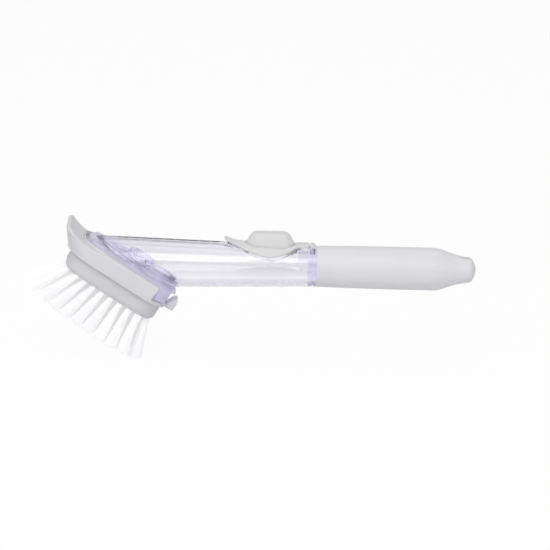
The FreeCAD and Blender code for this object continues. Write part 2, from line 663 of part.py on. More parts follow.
def build_tray():
    """Head tray: raked nose with a dished deck, recess for the plate, soap chamber, notched heel."""
    hull = loft("tray_hull", outline("tray_rim", TRAY_RIM, "0"),
                outline("tray_foot", TRAY_FOOT, "-sizes.tray_depth"))
    lip = prism("tray_lip_ring", inset(TRAY_FOOT, "-sizes.tray_lip"), "(-sizes.tray_depth)",
                "(sizes.tray_lip_height - sizes.tray_depth)")
    around = inset(SKIRT, "-sizes.tray_gap")
    dish_middle = f"({PLATE[0]} + sizes.dish_setback)"
    dish = cylinder("nose_dish", "sizes.dish_radius", f"4 * {TRAY_HALF}", x=dish_middle,
                    y=f"-2 * {TRAY_HALF}", z="sizes.dish_radius - sizes.dish_depth", along="y")
    flat = block("deck_flat", (dish_middle, f"({HEEL} + sizes.overrun)"), across(f"2 * {TRAY_HALF}"),
                 ("0", "sizes.nose_rise + sizes.overrun"))
    nose = prism("nose_blank", TRAY_RIM, "0", "sizes.nose_rise")
    recess = prism("tray_recess", around, LEDGE_TOP, "sizes.overrun")
    notch_start = f"({HEEL} - sizes.notch_length)"
    chamber_rect = inset((around[0], notch_start, around[2], around[3]), "sizes.ledge_width")
    chamber = prism("tray_chamber", chamber_rect, FLOOR_TOP, LEDGE_TOP)
    notch = block("tray_notch", (notch_start, f"({HEEL} + sizes.overrun)"), across(f"2 * {TRAY_HALF}"),
                  (FLOOR_TOP, "sizes.overrun"))
    clear = "(sizes.tongue_radius + sizes.run_gap)"
    reach = "(sizes.tongue_half_width + sizes.run_gap)"
    pocket = cylinder("toe_pocket", clear, f"2 * {reach}", x=PIVOT_U, y=f"-{reach}", z=PIVOT_V, along="y")
    mouth = block("toe_mouth", (PIVOT_U, f"({around[0]} + sizes.plate_corner)"), across(reach),
                  (f"({PIVOT_V} - {clear})", "sizes.overrun"))
    leaned = (f"({around[0]} - sizes.nose_relief)",) + around[1:]
    relief = loft("nose_relief_cut", outline("relief_low", around, PIVOT_V),
                  outline("relief_high", leaned, "0"))
    soap = cylinder("soap_hole", "sizes.soap_hole_radius", "2 * sizes.tray_depth",
                    x="sizes.valve_offset", z="-2 * sizes.tray_depth")
    pegs = [cylinder(f"peg_hole_{index}", "sizes.peg_radius + sizes.fit_gap", "sizes.tray_depth", x=u, y=y,
                     z="-sizes.tray_depth - sizes.tray_floor") for index, (u, y) in enumerate(peg_places())]
    blank = fuse("tray_blank", hull, lip, nose)
    tray = cut("tray", blank, dish, flat, recess, chamber, notch, pocket, mouth, relief, soap, *pegs)
    return node(to_head(tray), "head_tray")


def peg_places():
    """Places of the four stakes that hold the block to the tray."""
    return [(f"({along} * sizes.peg_spread)", f"({side} * sizes.peg_spread)")
            for along in PEG_SIDES for side in PEG_SIDES]


def block_rect():
    """Outline of the bristle block, inside the tray's foot and a little behind its middle."""
    front, rear, half, corner = inset(TRAY_FOOT, "sizes.block_inset")
    return f"({front} + sizes.block_shift)", f"({rear} + sizes.block_shift)", half, corner


def tuft_rows():
    """Places of the tufts, row by row: u, y and the two splay angles in degrees.

    Rows run from nose to heel. The ends of a row follow the block's rounded corners, and the
    splay grows evenly from the heel to the nose and from the middle to the sides.
    """
    front, rear, half, corner = (value(expression) for expression in block_rect())
    margin = size("tuft_end_margin")
    middle_row = TUFT_ROWS // 2
    spacing = (half - size("tuft_side_margin")) / middle_row
    splay = size("tuft_front_angle") + size("tuft_rear_angle")
    clear = size("soap_hole_radius") + 2 * size("tuft_root_radius")
    rows = []
    for lane in range(-middle_row, middle_row + 1):
        y = lane * spacing
        beyond = max(abs(y) - half + corner, 0)
        draw_in = corner - math.sqrt(max((corner - margin) ** 2 - beyond ** 2, 0))
        first, last = front + draw_in, rear - draw_in
        count = round((last - first) / size("tuft_pitch")) + 1
        row_places = []
        for k in range(count):
            u = first + (last - first) * k / (count - 1)
            if math.hypot(u - size("valve_offset"), y) < clear:
                continue
            share = (u - front) / (rear - front)
            row_places.append((u, y, share * splay - size("tuft_front_angle"),
                               lane / middle_row * size("tuft_side_angle")))
        rows.append(row_places)
    return rows


def tuft_placement(u, y, lean, spread):
    """Placement of a tuft drawn along +Z from its root: root on the block's foot, tip splayed outward."""
    way = Vector(math.tan(math.radians(lean)), math.tan(math.radians(spread)), -1)
    return Placement(Vector(u, y, value(BLOCK_FOOT)), Rotation(Vector(0, 0, 1), way))


def tuft_shape():
    """One tuft: a straight root for its hole and a flared brush, turned round +Z."""
    root = size("tuft_root_radius")
    start = size("anchor_height") + size("fit_gap") - size("tuft_hole_depth")
    points = [Vector(0, 0, start), Vector(root, 0, start), Vector(root, 0, 0),
              Vector(size("tuft_tip_radius"), 0, size("tuft_length")), Vector(0, 0, size("tuft_length"))]
    return Part.Face(Part.makePolygon(points + points[:1])).revolve(Vector(), Vector(0, 0, 1), 360)


def placed(shape, placement):
    """Copy of a shape at a placement."""
    copy = shape.copy()
    copy.Placement = placement
    return copy


def build_tufts():
    """Rows of tufts and the flat staples at the ends of their holes."""
    parts = []
    anchors = []
    tuft = tuft_shape()
    width, thickness = size("anchor_width"), size("anchor_thickness")
    anchor = Part.makeBox(width, thickness, size("anchor_height"),
                          Vector(-width / 2, -thickness / 2, -size("tuft_hole_depth")))
    for number, places in enumerate(tuft_rows(), 1):
        spots = [tuft_placement(*place) for place in places]
        row_shape = Part.makeCompound([placed(tuft, spot) for spot in spots])
        parts.append(node(to_head(feature(f"tufts_{number}", row_shape)), f"tuft_row_{number}"))
        anchors += [placed(anchor, spot) for spot in spots]
    parts.append(node(to_head(feature("anchors", Part.makeCompound(anchors))), "tuft_anchors"))
    return parts


def build_block():
    """Bristle block: rounded slab with stakes for the tray, a soap outlet and a hole for each tuft."""
    body = doc.addObject("PartDesign::Body", "block_body")
    sketch = draw_rounded(body_sketch(body, "block_outline", "XY_Plane"), block_rect())
    bind(sketch, {"AttachmentOffset.Base.z": "-sizes.tray_depth"})
    slab = body.newObject("PartDesign::Pad", "block_slab")
    slab.Profile = sketch
    slab.Reversed = True
    bind(slab, {"Length": "sizes.block_depth"})
    doc.recompute()
    foot = value(BLOCK_FOOT)
    low = [f"Edge{index}" for index, edge in enumerate(slab.Shape.Edges, 1)
           if edge.BoundBox.ZMax < foot + size("fit_gap")]
    rounded = body.newObject("PartDesign::Fillet", "block_round")
    rounded.Base = (slab, low)
    bind(rounded, {"Radius": "sizes.block_fillet"})
    stakes = [cylinder(f"stake_{index}", "sizes.peg_radius", "sizes.peg_length", x=u, y=y,
                       z="-sizes.tray_depth") for index, (u, y) in enumerate(peg_places())]
    outlet = cylinder("soap_outlet", "sizes.soap_hole_radius", "2 * sizes.block_depth",
                      x="sizes.valve_offset", z=f"{BLOCK_FOOT} - sizes.overrun")
    bore = Part.makeCylinder(size("tuft_root_radius") + size("fit_gap") / 2,
                             size("tuft_hole_depth") + size("overrun"),
                             Vector(0, 0, -size("tuft_hole_depth")))
    holes = feature("tuft_holes", Part.makeCompound([placed(bore, tuft_placement(*place))
                                                     for places in tuft_rows() for place in places]))
    whole = cut("block", fuse("block_blank", body, *stakes), outlet, holes)
    return node(to_head(whole), "bristle_block")


def build_paddle():
    """Release paddle: a thumb lever that leans out from its knuckle at the tray's heel."""
    body = doc.addObject("PartDesign::Body", "paddle_body")
    outline_points = [("(-sizes.paddle_knuckle)", "0")]
    outline_points += [(f"({reach} * sizes.paddle_reach)", f"({height} * sizes.paddle_height)")
                       for reach, height in PADDLE_SHARES]
    outline_points.append(("0", "(-sizes.paddle_knuckle)"))
    sketch = draw_polygon(body_sketch(body, "paddle_side", "XZ_Plane"), outline_points)
    lever = body.newObject("PartDesign::Pad", "paddle_lever")
    lever.Profile = sketch
    lever.Midplane = True
    bind(lever, {"Length": "2 * sizes.paddle_half_width"})
    doc.recompute()
    knuckle = cylinder("paddle_roll", "sizes.paddle_knuckle", "2 * sizes.paddle_half_width",
                       y="-sizes.paddle_half_width", along="y")
    paddle = fuse("paddle", body, knuckle)
    return node(to_head(paddle, u=PADDLE_U, v=PADDLE_V), "release_paddle")


nodes = [build_grip(), build_tube(), build_base_plate(), build_valve(), build_retainer(), build_cap(),
         build_anchor(), build_dome(), build_web(), build_tray(), build_block(), build_paddle()]
nodes += build_tufts()
doc.recompute()

for item in doc.Objects:
    if "Invalid" in item.State or "Error" in item.State:
        raise RuntimeError(f"{item.Name} failed: {item.State}")
for item in nodes:
    if item.Shape.isNull() or not item.Shape.isValid() or not item.Shape.Solids:
        raise RuntimeError(f"{item.Label} has no valid solid")

os.makedirs("parts", exist_ok=True)
for item in nodes:
    item.Shape.exportStep(f"parts/{item.Label}.step")
    print(item.Label, len(item.Shape.Solids), round(item.Shape.Volume, 1))
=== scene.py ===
"""Looks of the dish wand: clear soap tube, grey grip, thumb pump cap and swing-off brush head.

The frame is the part's own: the origin is the middle of the hang hole, +X runs along the wand to its
tail, +Z goes up through the hang hole and the brush head lies at -X. Sizes are written in millimetres
and become metres where a mesh is made. Head pieces use a tilted frame: u from nose to heel, y across
and v away from the bristles, with v = 0 on the rim of the tray.
"""
import logging
import math
from dataclasses import dataclass
from enum import Enum
from functools import partialmethod, reduce
from typing import Any, Sequence

import bpy
import numpy as np
from mathutils import Matrix, Vector


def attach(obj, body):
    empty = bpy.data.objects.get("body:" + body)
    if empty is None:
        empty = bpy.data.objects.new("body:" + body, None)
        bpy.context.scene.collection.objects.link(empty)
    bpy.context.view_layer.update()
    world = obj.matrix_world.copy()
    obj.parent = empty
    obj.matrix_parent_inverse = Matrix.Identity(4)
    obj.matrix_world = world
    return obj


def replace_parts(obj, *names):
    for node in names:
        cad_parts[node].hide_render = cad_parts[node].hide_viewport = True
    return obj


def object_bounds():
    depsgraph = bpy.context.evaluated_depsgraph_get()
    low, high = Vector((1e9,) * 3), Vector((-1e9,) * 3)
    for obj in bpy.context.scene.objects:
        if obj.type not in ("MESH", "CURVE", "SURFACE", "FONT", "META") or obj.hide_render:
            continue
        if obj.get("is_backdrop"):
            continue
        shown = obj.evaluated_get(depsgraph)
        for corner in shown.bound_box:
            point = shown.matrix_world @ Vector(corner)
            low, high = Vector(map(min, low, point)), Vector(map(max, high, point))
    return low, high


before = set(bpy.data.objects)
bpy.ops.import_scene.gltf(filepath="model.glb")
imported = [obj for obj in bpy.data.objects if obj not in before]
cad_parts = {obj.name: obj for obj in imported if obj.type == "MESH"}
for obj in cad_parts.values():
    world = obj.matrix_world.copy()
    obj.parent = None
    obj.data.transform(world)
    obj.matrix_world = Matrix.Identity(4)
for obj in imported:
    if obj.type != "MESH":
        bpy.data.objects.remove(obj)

MM = 0.001
LOG = logging.getLogger("dish_wand")
Array = np.ndarray
Colour = tuple[float, float, float]
Place = tuple[float, float, float]
Pairs = Sequence[tuple[float, float]]
WHITE: Colour = (1.0, 1.0, 1.0)
TILT = math.radians(31.8)
HEAD_X = -179.0
COLLAR_X = -79.0
COLLAR_RADIUS = 10.95
TUBE_TAPER = 0.0255
CAP_X = -104.0
STRAP_TOP = 12.1
STRAP_FOOT = 10.0
STRETCH_STEPS = (9, 24, 16, 8)
ROUND_STEPS = 5
SHARP_TURN = math.radians(38.0)


class Value:
    """A shader socket in Python arithmetic: each operation adds a Math node."""

    def __init__(self, shader: "Shader", socket: bpy.types.NodeSocket) -> None:
        """Keep an output socket and the shader that new Math nodes go into."""
        self.shader = shader
        self.socket = socket

    def _math(self, operation: str, other: Any, turned: bool = False) -> "Value":
        """Add one Math node.

        Args:
            operation: the node's operation.
            other: the other operand, a Value or a number.
            turned: whether the other operand comes first.

        Returns:
            The node's result.
        """
        pair = (other, self) if turned else (self, other)
        node = self.shader.node("Math", dict(enumerate(pair)), operation=operation)
        return Value(self.shader, node.outputs[0])

    __add__ = __radd__ = partialmethod(_math, "ADD")
    __sub__ = partialmethod(_math, "SUBTRACT")
    __rsub__ = partialmethod(_math, "SUBTRACT", turned=True)
    __mul__ = __rmul__ = partialmethod(_math, "MULTIPLY")
    at_most = partialmethod(_math, "MINIMUM")
    at_least = partialmethod(_math, "MAXIMUM")


class Shader:
    """Node tree of one material or world, filled through one method."""

    def __init__(self, owner: Any) -> None:
        """Start an empty tree.

        Args:
            owner: material or world whose nodes these are.
        """
        owner.use_nodes = True
        self.tree = owner.node_tree
        self.tree.nodes.clear()

    def node(self, kind: str, sockets: dict[Any, Any] | None = None, **settings: Any) -> bpy.types.Node:
        """Add a node.

        Args:
            kind: the node's type name, after ShaderNode.
            sockets: numbers, colours, Values, nodes or output sockets by the input's name or place.
            settings: properties, set first; "stops" holds a ramp's places and colours.

        Returns:
            The new node.
        """
        made = self.tree.nodes.new("ShaderNode" + kind)
        for name, setting in settings.items():
            if name == "stops":
                ramp = made.color_ramp
                for _ in range(len(setting) - len(ramp.elements)):
                    ramp.elements.new(1.0)
                for element, (place, colour) in zip(ramp.elements, setting):
                    element.position = place
                    element.color = (*colour, 1.0)
            else:
                setattr(made, name, setting)
        for name, given in (sockets or {}).items():
            if isinstance(given, Value):
                given = given.socket
            elif isinstance(given, bpy.types.Node):
                given = given.outputs[0]
            if isinstance(given, bpy.types.NodeSocket):
                self.tree.links.new(given, made.inputs[name])
            else:
                made.inputs[name].default_value = (*given, 1.0) if isinstance(given, tuple) else given
        return made

    def noise(self, size_mm: float, detail: float) -> Value:
        """Noise about one half on Object coordinates, with patches of a size and so many octaves."""
        sockets = {"Scale": 1 / (size_mm * MM), "Detail": detail, "Vector": self.place("Object")}
        return Value(self, self.node("TexNoise", sockets).outputs[0])

    def place(self, space: str) -> bpy.types.NodeSocket:
        """Coordinates of the shaded place, or of a ray's direction in a world's Generated space."""
        return self.node("TexCoord").outputs[space]

    def axis(self, name: str, space: str = "Object") -> Value:
        """X, Y or Z of the coordinates."""
        return Value(self, self.node("SeparateXYZ", {0: self.place(space)}).outputs[name])

    def rays(self, *kinds: str) -> Value:
        """1 for rays of the named kinds, such as Camera, and 0 for the rest."""
        path = self.node("LightPath").outputs
        return reduce(Value.at_least, [Value(self, path[f"Is {kind} Ray"]) for kind in kinds])

    def blend(self, share: Any, first: Any, second: Any) -> bpy.types.NodeSocket:
        """Mix two colours, given as numbers, nodes or sockets, by the second one's share."""
        return self.node("Mix", {"Factor": share, 6: first, 7: second}, data_type="RGBA").outputs[2]

    def layer(self, share: Any, first: bpy.types.Node, second: bpy.types.Node) -> bpy.types.Node:
        """Mix two shaders by the second one's share."""
        return self.node("MixShader", {0: share, 1: first, 2: second})

    def bump(self, height: Value, depth_mm: float) -> bpy.types.Node:
        """Normals of a relief that is so many millimetres deep, from its height of 0 to 1."""
        return self.node("Bump", {"Height": height, "Distance": depth_mm * MM, "Strength": 1.0})

    def surface(self, **shown: bpy.types.Node) -> None:
        """Finish a material with what its Surface shows and, if anything does, what fills its Volume."""
        self.node("OutputMaterial", shown)


def shaded(colour: Colour, share: float) -> Colour:
    """Colour times a number."""
    return tuple(channel * share for channel in colour)


@dataclass(frozen=True)
class Look:
    """A finish: each kind fills its material's nodes in its own way."""

    name: str

    def fill(self, shader: Shader) -> None:
        """Add the nodes."""
        raise NotImplementedError

    def material(self) -> bpy.types.Material:
        """This finish's one material, made on first use.

        Returns:
            The material.
        """
        made = bpy.data.materials.get(self.name)
        if not made:
            made = bpy.data.materials.new(self.name)
            self.fill(Shader(made))
        return made


@dataclass(frozen=True)
class MouldedPlastic(Look):
    """Opaque plastic with a fine eroded grain and faint flow marks."""

    colour: Colour
    roughness: float
    grain_mm: float = 0.35
    grain_depth_mm: float = 0.006
    flow_mm: float = 24.0
    mottle: float = 0.035

    def fill(self, shader: Shader) -> None:
        """Put the grain into the colour, gloss and bump.

        Args:
            shader: the material's nodes.
        """
        flow = shader.noise(self.flow_mm, 3.0)
        grain = shader.noise(self.grain_mm, 1.0)
        colour = shader.blend(flow * 0.7 + grain * 0.3, shaded(self.colour, 1 - self.mottle),
                              shaded(self.colour, 1 + self.mottle))
        shader.surface(Surface=shader.node("BsdfPrincipled", {
            "Base Color": colour, "Roughness": flow * 0.12 + grain * 0.06 + (self.roughness - 0.09),
            "Normal": shader.bump(grain, self.grain_depth_mm), "Specular IOR Level": 0.42}))


@dataclass(frozen=True)
class SoftSilicone(Look):
    """Matt silicone with a soft sheen at grazing angles."""

    colour: Colour
    roughness: float = 0.52
    sheen: float = 0.18
    cloud_mm: float = 9.0
    dust: float = 0.03
    grain_mm: float = 0.22
    grain_depth_mm: float = 0.004

    def fill(self, shader: Shader) -> None:
        """Add a velvety skin with faint dust in its tone.

        Args:
            shader: the material's nodes.
        """
        cloud = shader.noise(self.cloud_mm, 3.0)
        grain = shader.noise(self.grain_mm, 1.0)
        colour = shader.blend(cloud, shaded(self.colour, 1 - self.dust), shaded(self.colour, 1 + self.dust))
        shader.surface(Surface=shader.node("BsdfPrincipled", {
            "Base Color": colour, "Roughness": cloud * 0.1 + (self.roughness - 0.05),
            "Normal": shader.bump(grain, self.grain_depth_mm), "Specular IOR Level": 0.35,
            "Sheen Weight": self.sheen, "Sheen Roughness": 0.4}))


@dataclass(frozen=True)
class ClearPlastic(Look):
    """Clear moulded plastic whose thick places show a violet cast."""

    clear: Colour
    edge: Colour
    cast: Colour
    density: float
    index: float = 1.49
    roughness: float = 0.004
    flow_mm: float = 14.0
    flow_depth_mm: float = 0.002
    passed: Colour = (0.96, 0.955, 0.975)
    haze: Colour = (0.85, 0.835, 0.925)
    cloud: float = 0.07
    rim_cloud: float = 0.24
    veil: float = 0.03
    rim_v: float = 2.3
    rim_fade: float = 0.6
    plate_v: float = 3.6
    collar_x: float = -84.0
    collar_share: float = 0.6
    fade: float = 3.0

    def masks(self, shader: Shader) -> tuple[Value, Value]:
        """Where the plastic is thick, and where it is the plate's rim.

        Args:
            shader: the material's nodes.

        Returns:
            1 in the plate at the head and in the solid collar, fading to 0 along the thin tube; and 1 in
            the plate's sides, fading to 0 at its top.
        """
        x, z = (shader.axis(name) * (1 / MM) for name in "XZ")
        level = (x - HEAD_X) * math.sin(TILT) + z * math.cos(TILT)
        plate = 1.0 - (level - self.plate_v) * (1 / self.fade)
        collar = ((x - self.collar_x) * (1 / self.fade)).at_most(self.collar_share)
        rim = (self.rim_v - level) * (1 / self.rim_fade)
        return plate.at_least(collar).at_least(0.0).at_most(1.0), rim.at_least(0.0).at_most(1.0)

    def fill(self, shader: Shader) -> None:
        """Refract, and absorb with depth.

        Light for what lies inside goes straight through. A faint haze, stronger where the plastic is
        thick, softens what is seen through it.

        Args:
            shader: the material's nodes.
        """
        flow = shader.noise(self.flow_mm, 2.0)
        thick, rim = self.masks(shader)
        skin = shader.node("BsdfPrincipled", {
            "Base Color": shader.blend(thick, self.clear, self.edge),
            "Transmission Weight": 1.0, "IOR": self.index,
            "Roughness": flow * 0.006 + self.roughness, "Normal": shader.bump(flow, self.flow_depth_mm)})
        depth = shader.node("VolumeAbsorption", {"Color": self.cast, "Density": self.density})
        open_way = shader.node("BsdfTransparent", {"Color": self.passed})
        haze = shader.node("BsdfDiffuse", {"Color": self.haze})
        body = shader.layer(thick * self.cloud + rim * self.rim_cloud + self.veil, skin, haze)
        shader.surface(Surface=shader.layer(shader.rays("Shadow", "Diffuse"), body, open_way), Volume=depth)


@dataclass(frozen=True)
class NylonFilament(Look):
    """White drawn filament that lets light through; each one has a tone of its own."""

    colour: Colour
    shade: Colour
    roughness: float = 0.38
    passing: float = 0.45
    # painted light: strength of an emission that brightens the filaments as if lit by their neighbours
    painted_glow: float = 0.175

    def fill(self, shader: Shader) -> None:
        """Read each filament's tone from the mesh; the glow is painted light, an emission in the filament's
        own colour that stands in for light passed on between filaments.

        Args:
            shader: the material's nodes.
        """
        tone = Value(shader, shader.node("Attribute", attribute_name="tone").outputs["Fac"])
        colour = shader.blend(tone, self.shade, self.colour)
        # painted light: the skin also emits its own colour, a painted glow for light between filaments
        skin = shader.node("BsdfPrincipled", {
            "Base Color": colour, "Roughness": tone * 0.1 + (self.roughness - 0.05),
            "Specular IOR Level": 0.4, "Emission Color": colour, "Emission Strength": self.painted_glow})
        through = shader.node("BsdfTranslucent", {"Color": colour})
        shader.surface(Surface=shader.layer(self.passing, skin, through))


@dataclass(frozen=True)
class BrassWire(Look):
    """Flat staple wire."""

    colour: Colour
    drawn_mm: float = 0.5

    def fill(self, shader: Shader) -> None:
        """Add metal with a drawn, slightly uneven gloss."""
        drawn = shader.noise(self.drawn_mm, 2.0)
        shader.surface(Surface=shader.node("BsdfPrincipled", {
            "Base Color": shader.blend(drawn, shaded(self.colour, 0.9), self.colour),
            "Metallic": 1.0, "Roughness": drawn * 0.2 + 0.25}))


class Finish(Enum):
    """Finishes by the record's material slots."""

    clear_plastic = ClearPlastic("clear_plastic_look", (0.985, 0.983, 0.99), (0.90, 0.885, 0.97),
                                 (0.50, 0.46, 0.90), 22.0)
    valve_silicone = SoftSilicone("valve_silicone_look", (0.82, 0.82, 0.85), 0.45, 0.1)
    grip_plastic = MouldedPlastic("grip_plastic_look", (0.70, 0.69, 0.72), 0.44)
    cap_silicone = SoftSilicone("cap_silicone_look", (0.67, 0.665, 0.675))
    tray_plastic = MouldedPlastic("tray_plastic_look", (0.652, 0.646, 0.68), 0.46)
    # painted shade: the block's grey is the tray's plastic darkened for the shadow under the tray's rim
    block_plastic = MouldedPlastic("block_plastic_painted_shade_look", (0.60, 0.59, 0.62), 0.5)
    bristle_nylon = NylonFilament("bristle_nylon_look", (0.98, 0.98, 0.985), (0.93, 0.93, 0.945))
    anchor_wire = BrassWire("anchor_wire_look", (0.78, 0.66, 0.36))


def dress(finish: Finish, *nodes: str) -> None:
    """Give CAD nodes a finish.

    Args:
        finish: what they are made of.
        nodes: their names.
    """
    for name in nodes:
        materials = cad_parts[name].data.materials
        materials.clear()
        materials.append(finish.value.material())
        LOG.info("dressed %s in %s", name, finish.name)


@dataclass
class Shell:
    """Closed surface: points in millimetres, four-sided faces, cap faces and a tone for each point."""

    points: Array
    quads: Array
    caps: Sequence[Array] = ()
    tone: Array | None = None

    def outward(self) -> "Shell":
        """Turn the faces outward.

        Each face is a fan of triangles from its first corner; a third of the triple product of its
        corners adds up to six times the volume, which is negative where the faces point inward.

        Returns:
            This shell, or one with each face the other way round.
        """
        a, b, c, d = (self.points[self.quads[:, corner]] for corner in range(4))
        volume = np.einsum("ij,ij->", a, np.cross(b, c)) + np.einsum("ij,ij->", a, np.cross(c, d))
        for cap in self.caps:
            fan = self.points[cap]
            volume += np.einsum("j,ij->", fan[0], np.cross(fan[1:-1], fan[2:]))
        if volume >= 0:
            return self
        return Shell(self.points, self.quads[:, ::-1], [cap[::-1] for cap in self.caps], self.tone)


def loft(rings: Array, closed: bool = False) -> Shell:
    """Skin a stack of loops: each joins the next, and every loop closes on itself.

    Args:
        rings: points as loops by columns by 3.
        closed: whether the last loop joins the first; if not, each end gets a cap.

    Returns:
        The closed surface.
    """
    count, around = rings.shape[:2]
    index = np.arange(count * around).reshape(count, around)
    below = index if closed else index[:-1]
    above = np.roll(index, -1, 0) if closed else index[1:]
    quads = np.stack([below, np.roll(below, -1, 1), np.roll(above, -1, 1), above], -1).reshape(-1, 4)
    return Shell(rings.reshape(-1, 3), quads, () if closed else (index[0][::-1], index[-1])).outward()


def make_piece(name: str, shells: Sequence[Shell], finish: Finish, body: str, nodes: Sequence[str]) -> None:
    """Join shells into one object that rides a body in place of CAD nodes.

    Args:
        name: the piece's name.
        shells: its surfaces, in millimetres.
        finish: what it is made of.
        body: the body it moves with.
        nodes: CAD nodes that it stands for.
    """
    starts = np.cumsum([0] + [len(shell.points) for shell in shells])
    faces = [shell.quads + start for shell, start in zip(shells, starts)]
    caps = [cap + start for shell, start in zip(shells, starts) for cap in shell.caps]
    corners = np.concatenate([face.ravel() for face in faces] + caps)
    sizes = np.concatenate([np.full(sum(map(len, faces)), 4), np.array([len(cap) for cap in caps], int)])
    mesh = bpy.data.meshes.new(name)
    mesh.vertices.add(int(starts[-1]))
    mesh.vertices.foreach_set("co", np.concatenate([shell.points for shell in shells]).ravel() * MM)
    mesh.loops.add(len(corners))
    mesh.loops.foreach_set("vertex_index", corners.astype(np.int32))
    mesh.polygons.add(len(sizes))
    mesh.polygons.foreach_set("loop_start", (np.cumsum(sizes) - sizes).astype(np.int32))
    mesh.update(calc_edges=True)
    mesh.polygons.foreach_set("use_smooth", np.ones(len(sizes), bool))
    mesh.set_sharp_from_angle(angle=SHARP_TURN)
    if all(shell.tone is not None for shell in shells):
        tones = mesh.attributes.new("tone", "FLOAT", "POINT")
        tones.data.foreach_set("value", np.concatenate([shell.tone for shell in shells]).astype(np.float32))
    mesh.materials.append(finish.value.material())
    piece = bpy.data.objects.new(name, mesh)
    bpy.context.scene.collection.objects.link(piece)
    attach(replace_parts(piece, *nodes), body)
    LOG.info("made %s: %d faces for %s", name, len(sizes), ", ".join(nodes))


def from_head(points: Array) -> Array:
    """Turn head-frame points into the part's frame.

    Args:
        points: u, y and v in millimetres, in the last axis.

    Returns:
        x, y and z: u runs down the tilt and v square to it.
    """
    u, y, v = np.moveaxis(points, -1, 0)
    return np.stack([HEAD_X + u * math.cos(TILT) + v * math.sin(TILT), y,
                     v * math.cos(TILT) - u * math.sin(TILT)], -1)


def raised(flat: Array, height: Array) -> Array:
    """Flat places with a height as their third number."""
    return np.concatenate([flat, np.broadcast_to(height, flat.shape[:-1])[..., None]], -1)


def unit(vectors: Array) -> Array:
    """Vectors in rows, each brought to a length of 1."""
    return vectors / np.linalg.norm(vectors, axis=1, keepdims=True)


def smooth_step(start: float, end: float, at: Array) -> Array:
    """0 before the start, 1 after the end and a smooth cubic between."""
    share = np.clip((at - start) / (end - start), 0.0, 1.0)
    return share * share * (3.0 - 2.0 * share)


def tube_radius(x: Array) -> Array:
    """Outside radius of the clear tube, which grows evenly from the collar to the head."""
    return COLLAR_RADIUS + TUBE_TAPER * (COLLAR_X - x)


def open_loop(front: Any, rear: Any, half: Any, corner: Any, end: Any) -> Array:
    """Rounded rectangle, open behind: from (end, -half) round the front and back to (end, half).

    Half of the columns go through four stretches, each by a share: the part of the rear corner in
    front of the end, where the angle falls to 0; the straight side; the front corner, where the angle
    grows to 90 degrees; and half of the front. The other half mirrors them. With the end at the rear,
    the loop closes straight across.

    Args:
        front: place of the front edge, a number or an array of rings by columns (or by 1).
        rear: place of the rear edge.
        half: half the width.
        corner: radius of the corners.
        end: where both ends lie.

    Returns:
        Along and across, as rings by columns by 2.
    """
    stretch = np.repeat(np.arange(4), STRETCH_STEPS)
    share = np.concatenate([np.arange(steps) / steps for steps in STRETCH_STEPS])
    stretch, share = np.append(stretch, 3), np.append(share, 1.0)
    stretch, share = np.concatenate([stretch, stretch[-2::-1]]), np.concatenate([share, share[-2::-1]])
    side = np.where(np.arange(len(share)) < len(share) // 2, -1.0, 1.0)
    turn = np.arcsin(np.clip((end - rear + corner) / corner, 0.0, 1.0)) * (1.0 - share)
    start = np.minimum(end, rear - corner)
    bend = share * math.pi / 2
    nil = np.zeros_like(share)
    stretches = [stretch == number for number in range(4)]
    shape = np.broadcast_shapes(*(np.shape(item) for item in (front, rear, half, corner, end, share[None])))

    def chosen(*forms: Array) -> Array:
        """Each column's own stretch out of the four forms."""
        return np.select([np.broadcast_to(item, shape) for item in stretches],
                         [np.broadcast_to(form, shape) for form in forms])

    along = chosen(start + corner * np.sin(turn), start + (front + corner - start) * share,
                   front + corner - corner * np.sin(bend), front + nil)
    across = chosen(half - corner + corner * np.cos(turn), half + nil,
                    half - corner + corner * np.cos(bend), (half - corner) * (1.0 - share))
    return np.stack([along, across * side], -1)


def soft_polygon(corners: Pairs, radius: float) -> Array:
    """Polygon with each corner eased by a parabola that starts and ends a radius away from it.

    Args:
        corners: the polygon's corners, in order.
        radius: how far from a corner its curve starts, at most half an edge.

    Returns:
        Points in order, as an array by 2.
    """
    here = np.array(corners, float)
    ends = []
    for other in (np.roll(here, 1, 0), np.roll(here, -1, 0)):
        edge = other - here
        length = np.linalg.norm(edge, axis=1, keepdims=True)
        ends.append(here + edge / length * np.minimum(radius, 0.48 * length))
    share = np.linspace(0.0, 1.0, ROUND_STEPS)[None, :, None]
    first, last = (end[:, None] for end in ends)
    curve = first * (1 - share) ** 2 + 2 * here[:, None] * share * (1 - share) + last * share ** 2
    return curve.reshape(-1, 2)


def pillow(side: Array, half: float, radius: float) -> Array:
    """Side outline carried across the part, drawn in towards its middle round both ends.

    Args:
        side: outline points, along and up.
        half: half the width across.
        radius: radius of the rounded ends.

    Returns:
        Loops by points by 3, as along, across and up.
    """
    middle = side.mean(0)
    reach = np.linalg.norm(side - middle, axis=1).mean()
    turn = np.linspace(0.0, math.pi / 2, ROUND_STEPS)
    across = half - radius + radius * np.sin(turn)
    shrink = 1.0 - radius * (1.0 - np.cos(turn)) / reach
    across = np.concatenate([-across[::-1], across])
    shrink = np.concatenate([shrink[::-1], shrink])
    flat = middle + (side - middle)[None] * shrink[:, None, None]
    return np.stack([flat[..., 0], np.broadcast_to(across[:, None], flat.shape[:2]), flat[..., 1]], -1)


